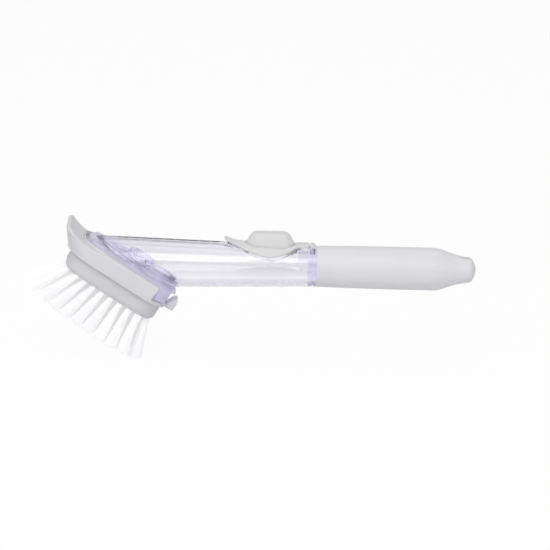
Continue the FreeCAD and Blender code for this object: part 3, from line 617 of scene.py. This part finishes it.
@dataclass
class Tufts:
    """Splayed tufts of nylon filaments, one piece for each row of the block."""

    rows: int = 7
    front: float = -29.1
    rear: float = 26.4
    half: float = 18.8
    corner: float = 11.8
    foot: float = -19.1
    lane: float = 5.2
    end_margin: float = 2.6
    pitch: float = 5.5
    outlet: float = 3.7
    front_angle: float = 34.0
    rear_angle: float = 18.0
    side_angle: float = 15.0
    length: float = 22.5
    sunk: float = 2.0
    root: float = 1.08
    tip: float = 3.5
    filament: float = 0.16
    filaments: int = 110
    seed: int = 40
    ragged: float = 0.045
    waver: float = 0.16
    flare: float = 1.1
    stations: tuple[float, ...] = (0.0, 0.3, 0.62, 0.9, 0.985, 1.0)
    taper: tuple[float, ...] = (1.0, 1.0, 1.0, 1.0, 0.9, 0.5)

    def places(self, lane: int) -> Array:
        """Roots and splay angles in one row; its ends follow the block's rounded corners.

        Args:
            lane: the row, counted from the middle.

        Returns:
            u, y, lean and side angle in radians, by tuft.
        """
        y = lane * self.lane
        beyond = max(abs(y) - self.half + self.corner, 0.0)
        draw_in = self.corner - math.sqrt((self.corner - self.end_margin) ** 2 - beyond ** 2)
        first, last = self.front + draw_in, self.rear - draw_in
        u = np.linspace(first, last, round((last - first) / self.pitch) + 1)
        u = u[np.hypot(u - self.outlet, y) >= self.pitch]
        lean = (u - self.front) / (self.rear - self.front) * (self.front_angle + self.rear_angle)
        side = np.full_like(u, lane / (self.rows // 2) * self.side_angle)
        return np.stack([u, np.full_like(u, y), np.radians(lean - self.front_angle), np.radians(side)], -1)

    def row(self, lane: int) -> Shell:
        """Filaments of one row.

        A filament's place in its tuft follows a sunflower's rule: filament k lies at the root of its
        share of the tuft's area, turned k golden angles. Its distance from the tuft's middle grows from
        root to tip, its own small bend grows with the square of the way, and its section is a square.

        Args:
            lane: the row, counted from the middle.

        Returns:
            All of the row's filaments.
        """
        rng = np.random.default_rng(self.seed + lane)
        places = self.places(lane)
        tufts, count = len(places), self.filaments
        way = unit(np.stack([np.tan(places[:, 2]), np.tan(places[:, 3]), -np.ones(tufts)], -1))
        first = unit(np.cross(way, np.array([0.0, 1.0, 0.0])))
        second = np.cross(way, first)
        order = np.arange(count)
        spot = np.sqrt((order + 0.5) / count)
        turn = order * math.pi * (3.0 - math.sqrt(5.0)) + rng.uniform(0, math.tau, (tufts, 1))
        share = np.array(self.stations)
        girth = np.array(self.taper) * self.filament
        length = self.length * (1.0 - self.ragged * rng.random((tufts, count)) ** 2) + self.sunk
        bend = rng.normal(0.0, self.waver, (2, tufts, count))
        spread = self.root + (self.tip - self.root) * share ** self.flare
        reach = spot[None, :, None] * spread[None, None]
        down = length[..., None] * share - self.sunk
        centre = np.stack([places[:, 0], places[:, 1], np.full(tufts, self.foot)], -1)[:, None, None]
        centre = centre + way[:, None, None] * down[..., None]
        for axis, wave, sway in ((first, np.cos(turn), bend[0]), (second, np.sin(turn), bend[1])):
            out = reach * wave[..., None] + sway[..., None] * share ** 2
            centre = centre + axis[:, None, None] * out[..., None]
        corner = np.arange(4) * math.pi / 2 + math.pi / 4
        rim = (first[:, None] * np.cos(corner)[:, None] + second[:, None] * np.sin(corner)[:, None])
        points = centre[:, :, :, None] + rim[:, None, None] * girth[:, None, None]
        tone = np.broadcast_to(rng.random((tufts, count))[..., None, None], points.shape[:-1])
        index = np.arange(points[..., 0].size).reshape(-1, len(share), 4)
        turned = np.roll(index, -1, 2)
        sides = np.stack([index[:, :-1], turned[:, :-1], turned[:, 1:], index[:, 1:]], -1).reshape(-1, 4)
        quads = np.concatenate([sides, index[:, 0, ::-1], index[:, -1]])
        return Shell(from_head(points).reshape(-1, 3), quads, (), tone.ravel()).outward()

    def build(self) -> None:
        """Make every row in place of its CAD solid."""
        for number in range(1, self.rows + 1):
            make_piece(f"bristles_{number}", [self.row(number - 1 - self.rows // 2)], Finish.bristle_nylon,
                       "head", [f"tuft_row_{number}"])


@dataclass
class HeadTray:
    """Tray of the brush head: raked nose with a dished deck, rounded rim, soap floor and open heel."""

    rim_front: float = -39.4
    foot_front: float = -32.4
    rear: float = 27.5
    half: float = 21.0
    corner: float = 14.0
    nose_corner: float = 6.0
    depth: float = 9.5
    floor_top: float = -7.7
    ledge_top: float = -4.3
    notch: float = 19.4
    rim_round: float = 1.5
    inner_round: float = 0.35
    inner_front: float = -25.6
    inner_half: float = 18.9
    inner_corner: float = 12.4
    relief: float = 1.8
    toe_v: float = -3.2
    toe_u: float = -27.0
    toe_radius: float = 1.1
    toe_half: float = 11.0
    chamber_front: float = -23.2
    chamber_half: float = 16.5
    chamber_corner: float = 10.0
    nose_rise: float = 1.5
    dish_u: float = -23.5
    dish_depth: float = 1.6
    dish_radius: float = 38.0
    lip: float = 0.5
    lip_height: float = 1.0
    ease: float = 0.15
    soap_u: float = 3.7
    soap_radius: float = 3.0
    sill_width: float = 2.4
    fall: tuple[float, ...] = (-0.7, -1.2, -1.7, -2.1, -2.4, -2.7, -3.2, -3.7, -4.0)

    def deck(self, u: Array) -> Array:
        """Height of rim and deck: level behind, then a dip on a circle's arc that rises to the nose.

        Args:
            u: places along the head.

        Returns:
            v at each of them.
        """
        arc = np.sqrt(np.clip(self.dish_radius ** 2 - (u - self.dish_u) ** 2, 0.0, None))
        dip = self.dish_radius - self.dish_depth - arc
        return np.where(u > self.dish_u, np.minimum(dip, 0.0), np.minimum(dip, self.nose_rise))

    def outer(self, v: Array, inset: Any = 0.0) -> Array:
        """Outside outline at each height; the nose leans forward from foot to rim.

        Args:
            v: heights, as rings by columns (or by 1).
            inset: how far the outline is drawn in.

        Returns:
            u and y, as rings by columns by 2.
        """
        lean = np.clip(v / self.depth + 1.0, 0.0, 1.0)
        front = self.foot_front + (self.rim_front - self.foot_front) * lean
        corner = self.corner + (self.nose_corner - self.corner) * lean
        return open_loop(front + inset, self.rear - inset, self.half - inset, corner - inset, self.notch)

    def inner(self, v: Array, outset: Any = 0.0) -> Array:
        """Inside outline at each height: the front leans away above the toe, with a round pocket for it.

        Args:
            v: heights, as rings by columns (or by 1).
            outset: how far the outline is let out.

        Returns:
            u and y, as rings by columns by 2.
        """
        lean = np.clip(1.0 - v / self.toe_v, 0.0, 1.0)
        front = self.inner_front - self.relief * lean
        line = open_loop(front - outset, self.rear + 0.4 + outset, self.inner_half + outset,
                         self.inner_corner + outset, self.notch)
        bulge = np.sqrt(np.clip(self.toe_radius ** 2 - (v - self.toe_v) ** 2, 0.0, None))
        pocket = np.minimum(line[..., 0], self.toe_u - bulge)
        within = 1.0 - smooth_step(self.toe_half, self.toe_half + 1.0, np.abs(line[..., 1]))
        within = within * (line[..., 0] < 0.0)
        line[..., 0] += (pocket - line[..., 0]) * within
        return line

    def wall(self) -> Shell:
        """Wall round nose and sides: one closed profile carried from notch to notch.

        The profile climbs the outside, turns over the rim on a quarter circle, crosses the deck, turns
        down on a smaller quarter circle, follows the recess to the ledge and the chamber, and returns
        inside the floor.

        Returns:
            The closed surface.
        """
        rim = open_loop(self.rim_front, self.rear, self.half, self.nose_corner, self.notch)
        edge = self.deck(rim[..., 0])
        foot = 0.5 - self.depth
        climb = foot + (edge - self.rim_round - foot) * np.linspace(0.0, 1.0, 7)[:, None]
        turn = np.linspace(0.0, math.pi / 2, 7)[1:, None]
        over = edge - self.rim_round * (1.0 - np.sin(turn))
        inset = self.rim_round * (1.0 - np.cos(turn))
        rings = [(self.outer(climb), climb), (self.outer(np.zeros((len(turn), 1)), inset), over)]
        first, last = rings[-1][0][-1], self.inner(np.zeros((1, 1)), self.inner_round)[0]
        across = first + (last - first) * np.linspace(0.1, 1.0, 10)[:, None, None]
        rings.append((across, self.deck(across[..., 0])))
        turn = np.linspace(0.0, math.pi / 2, 4)[1:, None]
        drop = -self.inner_round * (1.0 - np.cos(turn))
        rings.append((self.inner(np.zeros((len(turn), 1)), self.inner_round * (1.0 - np.sin(turn))), drop))
        fall = np.array([*self.fall, self.ledge_top])[:, None]
        rings.append((self.inner(fall), fall))
        low = np.array([self.ledge_top, self.floor_top, foot])[:, None]
        chamber = open_loop(self.chamber_front + 0 * low, 2 * self.rear, self.chamber_half,
                            self.chamber_corner, self.notch)
        rings.append((chamber, low))
        grid = [raised(flat, height) for flat, height in rings]
        return loft(from_head(np.swapaxes(np.concatenate(grid), 0, 1)))

    def floor(self) -> Shell:
        """Floor with its thin lip and the soap hole: a closed profile carried round.

        Returns:
            The closed surface.
        """
        base, lip_top = -self.depth, self.lip_height - self.depth
        lip, ease = self.lip, self.ease
        edge = np.array([(lip - ease, base), (lip, base + ease), (lip, lip_top - ease), (lip - ease, lip_top),
                         (0.05, lip_top), (-0.03, lip_top + 0.05), (-0.03, self.floor_top - 0.2),
                         (-0.23, self.floor_top)])
        out = edge[:, :1]
        flat = open_loop(self.foot_front - out, self.rear + out, self.half + out, self.corner + out,
                         self.rear + out)
        turn = np.arctan2(flat[-1, :, 1], flat[-1, :, 0] - self.soap_u)
        hole = np.stack([self.soap_u + self.soap_radius * np.cos(turn), self.soap_radius * np.sin(turn)], -1)
        flat = np.concatenate([flat, hole[None], hole[None]])
        height = np.append(edge[:, 1], [self.floor_top, base])
        return loft(from_head(raised(flat, height[:, None])), True)

    def sill(self) -> Shell:
        """Low bar across the heel that closes the soap chamber behind: outlines stacked upwards.

        Returns:
            The closed surface.
        """
        front = self.notch - self.sill_width
        edge = np.array([(0.0, self.floor_top - 0.2), (0.0, self.ledge_top - 0.2), (0.2, self.ledge_top)])
        inset = edge[:, :1]
        flat = open_loop(front + inset, self.notch - inset, self.chamber_half + 0.5, 0.3, self.notch - inset)
        return loft(from_head(raised(flat, edge[:, 1:])))

    def build(self) -> None:
        """Make the tray in place of its CAD node."""
        make_piece("head_tray_skin", [self.wall(), self.floor(), self.sill()], Finish.tray_plastic, "head",
                   ["head_tray"])


@dataclass
class ReleasePaddle:
    """Small thumb lever behind the heel, with soft corners."""

    pivot_u: float = 29.2
    pivot_v: float = -8.6
    knuckle: float = 0.9
    reach: float = 4.2
    height: float = 6.0
    half: float = 6.0
    ease: float = 1.3
    side_round: float = 1.1

    def build(self) -> None:
        """Make the lever: its eased side outline carried across with rounded ends."""
        r, reach, height = self.knuckle, self.reach, self.height
        side = soft_polygon([(-r, -r), (-r, 0.7 * r), (0.06 * reach, 0.5 * height), (0.44 * reach, height),
                             (0.86 * reach, 0.98 * height), (1.02 * reach, 0.55 * height),
                             (0.98 * reach, -0.12 * height), (0.55 * reach, -0.13 * height)], self.ease)
        grid = pillow(side, self.half, self.side_round) + np.array([self.pivot_u, 0.0, self.pivot_v])
        make_piece("release_paddle_skin", [loft(from_head(grid))], Finish.tray_plastic, "paddle",
                   ["release_paddle"])


@dataclass
class FillCap:
    """Silicone thumb saddle on the tube: lift lip in front, plug ring below, flat strap behind."""

    middle: float = CAP_X
    rise: float = 0.8
    sink: float = 0.8
    lift: float = 2.4
    lift_start: float = -12.25
    lift_end: float = -24.5
    lift_power: float = 2.4
    strap_start: float = 11.5
    strap_full: float = 15.5
    strap_top: float = STRAP_TOP
    strap_foot: float = STRAP_FOOT
    hole_half_length: float = 13.2
    hole_half_width: float = 6.4
    hole_corner: float = 6.1
    plug_wall: float = 1.2
    plug_foot: float = 6.79
    inner_round: float = 0.25
    leaf: Pairs = (
        (-24.6, 0.0), (-24.45, 1.4), (-23.6, 2.9), (-21.6, 4.3), (-18.1, 5.9), (-12.2, 8.7), (-4.4, 10.5),
        (3.4, 10.4), (9.8, 8.5), (14.2, 5.4), (16.4, 4.3), (18.2, 4.0), (19.8, 4.0), (20.8, 3.6),
        (21.05, 2.8), (21.05, 0.0))
    columns: int = 176

    def rays(self) -> tuple[Array, Array, Array]:
        """Rays from the cap's middle to its edge, a smooth curve through the leaf's points, mirrored.

        Returns:
            Directions at equal steps of the edge's length, and how far the hole's edge and the leaf's
            edge lie along each.
        """
        half = np.array(self.leaf)
        loop = np.concatenate([half, half[-2:0:-1] * [1.0, -1.0]])
        before, here, after, later = (np.roll(loop, shift, 0)[:, None] for shift in (1, 0, -1, -2))
        t = np.linspace(0.0, 1.0, 24, endpoint=False)[None, :, None]
        curve = 0.5 * (2 * here + (after - before) * t + (2 * before - 5 * here + 4 * after - later) * t ** 2
                       + (3 * here - before - 3 * after + later) * t ** 3)
        curve = curve.reshape(-1, 2)
        curve = np.concatenate([curve, curve[:1]])
        steps = np.append(0.0, np.cumsum(np.linalg.norm(np.diff(curve, axis=0), axis=1)))
        at = np.linspace(0.0, steps[-1], self.columns, endpoint=False)
        edge = np.stack([np.interp(at, steps, curve[:, axis]) for axis in (0, 1)], -1)
        leaf = np.linalg.norm(edge, axis=1)
        ray = edge / leaf[:, None]
        dense = open_loop(-self.hole_half_length, self.hole_half_length, self.hole_half_width,
                          self.hole_corner, self.hole_half_length)[0]
        turn = np.arctan2(dense[:, 1], dense[:, 0])
        order = np.argsort(turn)
        hole = np.interp(np.arctan2(ray[:, 1], ray[:, 0]), turn[order], np.linalg.norm(dense, axis=1)[order],
                         period=math.tau)
        return ray, hole, leaf

    def sheet(self, flat: Array, share: Array, side: Array) -> Array:
        """Points of the saddle's skin above a flat place.

        Both faces wrap the tube's cone at their own offset, the lip lifts them by a power of the way
        past its start, and behind they run over into the flat strap.

        Args:
            flat: along and across, from the middle.
            share: way from the hole to the edge, from 0 to 1.
            side: 1 on the top face, -1 on the underside and between them round the edge.

        Returns:
            Points in the part's frame, in millimetres.
        """
        along, across = flat[..., 0], flat[..., 1]
        radius = tube_radius(self.middle + along)
        strap = smooth_step(self.strap_start, self.strap_full, along)
        past = (self.lift_start - along) / (self.lift_start - self.lift_end)
        lip = self.lift * np.clip(past, 0.0, 1.1) ** self.lift_power
        top = np.sqrt((radius + self.rise) ** 2 - across ** 2)
        pinch = 1.0 - (radius - self.sink) / (radius + self.rise)
        narrow = across * (1.0 - pinch * share ** 2 * (1 - strap))
        foot = np.sqrt(np.clip((radius - self.sink) ** 2 - narrow ** 2, 0.0, None))
        top = top + (self.strap_top - top) * strap
        foot = foot + (self.strap_foot - foot) * strap
        upper = 0.5 + 0.5 * side
        return np.stack([self.middle + along, narrow + (across - narrow) * upper,
                         foot + (top - foot) * upper + lip], -1)

    def build(self) -> None:
        """Make the cap: one closed profile, in from the edge to the plug ring, carried round all rays."""
        ray, hole, leaf = self.rays()
        room = leaf - hole - self.sink
        turn = np.radians([60.0, 30.0, 0.0, -30.0, -60.0])[:, None]
        inner = self.inner_round
        share = np.array([0.0, 0.12, 0.28, 0.46, 0.64, 0.82, 0.94, 1.0])[:, None]
        out_top = inner + (room - inner) * share
        out_edge = room + self.sink * np.cos(turn)
        back = np.array([1.0, 0.85, 0.65, 0.45, 0.22, 0.0])[:, None]
        out_under = self.plug_wall + inner + (room - self.plug_wall - inner) * back
        reach = np.concatenate([out_top, out_edge, out_under])
        side = np.concatenate([np.ones_like(share), np.sin(turn), -np.ones_like(back)])
        along = np.concatenate([share, np.ones_like(turn), back])
        flat = ray[None] * (hole + reach)[..., None]
        skin = self.sheet(flat, along, side)
        wall, foot = self.plug_wall, self.plug_foot
        plug = np.array([(wall, foot + 0.4), (wall - 0.12, foot + 0.12), (wall - 0.4, foot), (0.3, foot),
                         (0.08, foot + 0.1), (0.0, foot + 0.4)])
        low = ray[None] * (hole + plug[:, :1])[..., None] + np.array([self.middle, 0.0])
        plug_points = raised(low, plug[:, 1:])
        lip = self.sheet(ray[None] * (hole + np.array([[0.0], [0.07]]))[..., None], np.zeros((2, 1)),
                         np.ones((2, 1)))
        lip[..., 2] -= np.array([[inner], [0.07]])
        make_piece("fill_cap_skin", [loft(np.concatenate([skin, plug_points, lip]), True)],
                   Finish.cap_silicone, "cap", ["fill_cap"])


@dataclass
class PumpDome:
    """Hollow oblong thumb dome with sloped ends and a soft shoulder."""

    middle: float = CAP_X
    half_length: float = 12.9
    half_width: float = 6.1
    corner: float = 5.8
    foot: float = 9.39
    crest: float = 12.39
    height: float = 5.4
    crown: float = 0.22
    end_slope: float = 3.7
    side_slope: float = 1.9
    wall: float = 1.3
    web: float = 0.6
    web_width: float = 1.6
    end_form: tuple[float, float, int] = (0.80, 0.22, 7)
    side_form: tuple[float, float, int] = (0.35, 0.55, 6)

    def rings(self, ends: Array, sides: Array, level: Array) -> Array:
        """Oblong loops drawn in at the ends and sides, each at its level.

        Args:
            ends: how far each loop is drawn in at its ends.
            sides: how far at its sides.
            level: its height.

        Returns:
            Points as loops by columns by 3.
        """
        ends, sides, level = (np.asarray(item, float)[:, None] for item in (ends, sides, level))
        corner = np.maximum(self.corner - sides, 0.02)
        rear = self.half_length - ends
        flat = open_loop(-rear, rear, self.half_width - sides, np.minimum(corner, rear), rear)
        return raised(flat + np.array([self.middle, 0.0]), level)

    def build(self) -> None:
        """Make the dome: down its outside from the crown, round the foot and up the hollow.

        The outside draws in almost evenly at the ends and mostly near the top at the sides; both add a
        high power of the rise that rounds the shoulder. The crown is a low parabola. The web is a thin
        ring with a grooved edge that goes down with the foot.
        """
        rise = np.concatenate([np.linspace(0.0, 0.8, 6), [0.88, 0.94, 0.98, 1.0]])
        ends, sides = (slope * (even * rise + late * rise ** power) for slope, (even, late, power) in (
            (self.end_slope, self.end_form), (self.side_slope, self.side_form)))
        slope = self.rings(ends, sides, self.crest + self.height * rise)
        shrink = np.array([0.9, 0.7, 0.45, 0.2, 0.04])[:, None, None]
        centre = np.array([self.middle, 0.0, self.crest + self.height])
        crown = centre + (slope[-1:] - centre) * shrink
        crown[..., 2] += self.crown * (1.0 - shrink[..., 0] ** 2)
        skirt = self.rings([0.0, 0.0], [0.0, 0.0], [self.crest - 0.4, self.foot])
        w = self.wall
        hollow = self.rings([w, w, w + self.end_slope], [w, w, w + self.side_slope],
                            [self.foot, self.crest, self.crest + 0.78 * self.height - w / 2])
        rings = np.concatenate([crown[::-1], slope[::-1], skirt, hollow])
        make_piece("pump_dome_skin", [loft(rings)], Finish.cap_silicone, "dome", ["pump_dome"])
        drawn = np.array([0.0, 0.15, 0.15, 0.0, 1.0, 1.0]) * self.web_width
        drop = np.array([0.05, 0.25, 0.75, 1.0, 1.0, 0.05]) * self.web
        web = self.rings(drawn, drawn, self.foot - drop)
        make_piece("dome_web_skin", [loft(web, True)], Finish.cap_silicone, "dome", ["dome_web"])


@dataclass
class StrapAnchor:
    """Pegged end of the cap's strap, sloped down to the collar."""

    front: float = -82.65
    rear: float = -79.3
    foot: float = STRAP_FOOT
    top: float = STRAP_TOP
    half: float = 4.0
    slope: float = 1.6
    heel: float = 0.7
    ease: float = 0.25
    side_round: float = 0.5
    peg_x: float = -81.3
    peg_radius: float = 1.3
    peg_depth: float = 4.8

    def build(self) -> None:
        """Make the anchor: an eased side outline carried across, and a turned peg below it."""
        side = soft_polygon([(self.front, self.foot), (self.front, self.top),
                             (self.rear - self.slope, self.top), (self.rear, self.foot + self.heel),
                             (self.rear, self.foot)], self.ease)
        profile = np.array([(1.0, 0.2), (1.0, 0.4 - self.peg_depth), (0.85, -self.peg_depth)])
        turn = np.linspace(0.0, math.tau, 28, endpoint=False)
        radius = self.peg_radius * profile[:, :1]
        flat = np.stack([self.peg_x + radius * np.cos(turn), radius * np.sin(turn)], -1)
        peg = raised(flat, self.foot + profile[:, 1:])
        make_piece("cap_anchor_skin", [loft(pillow(side, self.half, self.side_round)), loft(peg)],
                   Finish.cap_silicone, "wand", ["cap_anchor"])


@dataclass(frozen=True)
class Studio:
    """White room, soft lamps and a camera at the photograph's angle."""

    target_mm: Place = (-101.08, 0.0, -5.38)
    elevation: float = 11.0
    roll: float = 1.45
    view_width_mm: float = 294.0
    lens_mm: float = 400.0
    sensor_mm: float = 36.0
    floor_half: float = 3.0
    sky_level: float = 0.52
    sky_band: Pairs = ((0.0, 0.72), (0.3, 1.0), (0.6, 0.5))
    cards: Pairs = (
        (0.05, 0.80), (0.10, 0.93), (0.12, 0.97), (0.137, 0.96), (0.157, 0.90), (0.175, 0.90), (0.205, 0.79),
        (0.235, 0.73), (0.27, 0.80), (0.30, 0.86), (0.345, 0.90), (0.43, 0.91), (0.60, 0.92), (1.0, 0.90))
    lamps: tuple[tuple[str, Place, float, float], ...] = (
        ("key", (-0.35, -1.15, 0.95), 1.0, 0.42), ("fill", (0.9, -0.9, 0.35), 0.9, 0.12),
        ("top", (0.0, 0.25, 1.3), 1.1, 0.16), ("left", (-1.1, -0.55, 0.05), 0.8, 0.06))
    floor_white: float = 0.86
    floor_seen: float = 0.95

    def camera(self) -> None:
        """Camera whose right and up are turned by the roll about its line of sight."""
        tilt, turn = math.radians(self.elevation), math.radians(self.roll)
        back = Vector((0.0, -math.cos(tilt), math.sin(tilt)))
        right = Vector((1.0, 0.0, 0.0))
        up = Vector((0.0, math.sin(tilt), math.cos(tilt)))
        turned_right = right * math.cos(turn) + up * math.sin(turn)
        turned_up = up * math.cos(turn) - right * math.sin(turn)
        data = bpy.data.cameras.new("photo_camera")
        data.lens = self.lens_mm
        data.sensor_width = self.sensor_mm
        distance = self.view_width_mm * MM * self.lens_mm / self.sensor_mm
        camera = bpy.data.objects.new("photo_camera", data)
        place = Matrix((turned_right, turned_up, back)).transposed().to_4x4()
        place.translation = Vector(self.target_mm) * MM + back * distance
        camera.matrix_world = place
        bpy.context.scene.collection.objects.link(camera)
        bpy.context.scene.camera = camera

    def floor(self) -> None:
        """Pale floor under the lowest point; what is seen of it is mostly its own white.

        Through clear pieces and in mirrors it shows soft grey cards that lie behind the object.
        """
        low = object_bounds()[0].z
        half = self.floor_half
        mesh = bpy.data.meshes.new("floor")
        mesh.from_pydata([(-half, -half, low), (half, -half, low), (half, half, low), (-half, half, low)], [],
                         [(0, 1, 2, 3)])
        material = bpy.data.materials.new("floor_white")
        shader = Shader(material)
        matt = shader.node("BsdfDiffuse", {"Color": (self.floor_white,) * 3})
        first, last = self.cards[0][0], self.cards[-1][0]
        shade = shader.node("ValToRGB", {0: (shader.axis("Y") - first) * (1 / (last - first))}, stops=[
            ((at - first) / (last - first), (level,) * 3) for at, level in self.cards])
        tone = shader.blend(shader.rays("Camera"), shade, WHITE)
        white = shader.node("Emission", {"Color": tone, "Strength": 1.0})
        seen = shader.rays("Camera", "Glossy", "Transmission") * self.floor_seen
        shader.surface(Surface=shader.layer(seen, matt, white))
        mesh.materials.append(material)
        floor = bpy.data.objects.new("floor", mesh)
        bpy.context.scene.collection.objects.link(floor)
        floor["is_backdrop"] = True

    def world(self) -> None:
        """White for the camera, and a plain grey for light on the object.

        Mirrors and clear pieces show a band that is brightest above the horizon and greyer overhead.
        """
        world = bpy.data.worlds.new("studio")
        bpy.context.scene.world = world
        shader = Shader(world)
        band = shader.node("ValToRGB", {0: shader.axis("Z", "Generated")}, stops=[
            (at, (level,) * 3) for at, level in self.sky_band])
        room = shader.blend(shader.rays("Glossy", "Transmission"), (self.sky_level,) * 3, band)
        shown = shader.blend(shader.rays("Camera"), room, WHITE)
        back = shader.node("Background", {"Color": shown, "Strength": 1.0})
        shader.node("OutputWorld", {"Surface": back})

    def lamp(self, name: str, place: Place, size: float, level: float) -> None:
        """Square soft lamp that points at the middle of the view.

        Args:
            name: what it is called.
            place: where it stands, in metres from the target.
            size: side of the square in metres.
            level: what a white surface that faces it shows, from 0 to 1.
        """
        data = bpy.data.lights.new(name, "AREA")
        offset = Vector(place)
        data.size = size
        data.energy = level * math.pi ** 2 * offset.length_squared
        lamp = bpy.data.objects.new(name, data)
        lamp.location = Vector(self.target_mm) * MM + offset
        lamp.rotation_mode = "QUATERNION"
        lamp.rotation_quaternion = (-offset).to_track_quat("-Z", "Y")
        bpy.context.scene.collection.objects.link(lamp)

    def build(self) -> None:
        """Set up everything that isn't the object."""
        bpy.context.scene.view_settings.view_transform = "Standard"
        self.camera()
        self.floor()
        self.world()
        for lamp in self.lamps:
            self.lamp(*lamp)


def main() -> None:
    """Build the part's looks and the room round it."""
    logging.basicConfig(level=logging.INFO, format="%(name)s: %(message)s")
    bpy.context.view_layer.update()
    dress(Finish.clear_plastic, "reservoir_tube", "base_plate", "valve_retainer")
    dress(Finish.valve_silicone, "outlet_valve")
    dress(Finish.grip_plastic, "grip_handle")
    dress(Finish.block_plastic, "bristle_block")
    dress(Finish.anchor_wire, "tuft_anchors")
    for piece in (Tufts(), HeadTray(), ReleasePaddle(), FillCap(), PumpDome(), StrapAnchor()):
        piece.build()
    Studio().build()


if __name__ == "__main__":
    main()
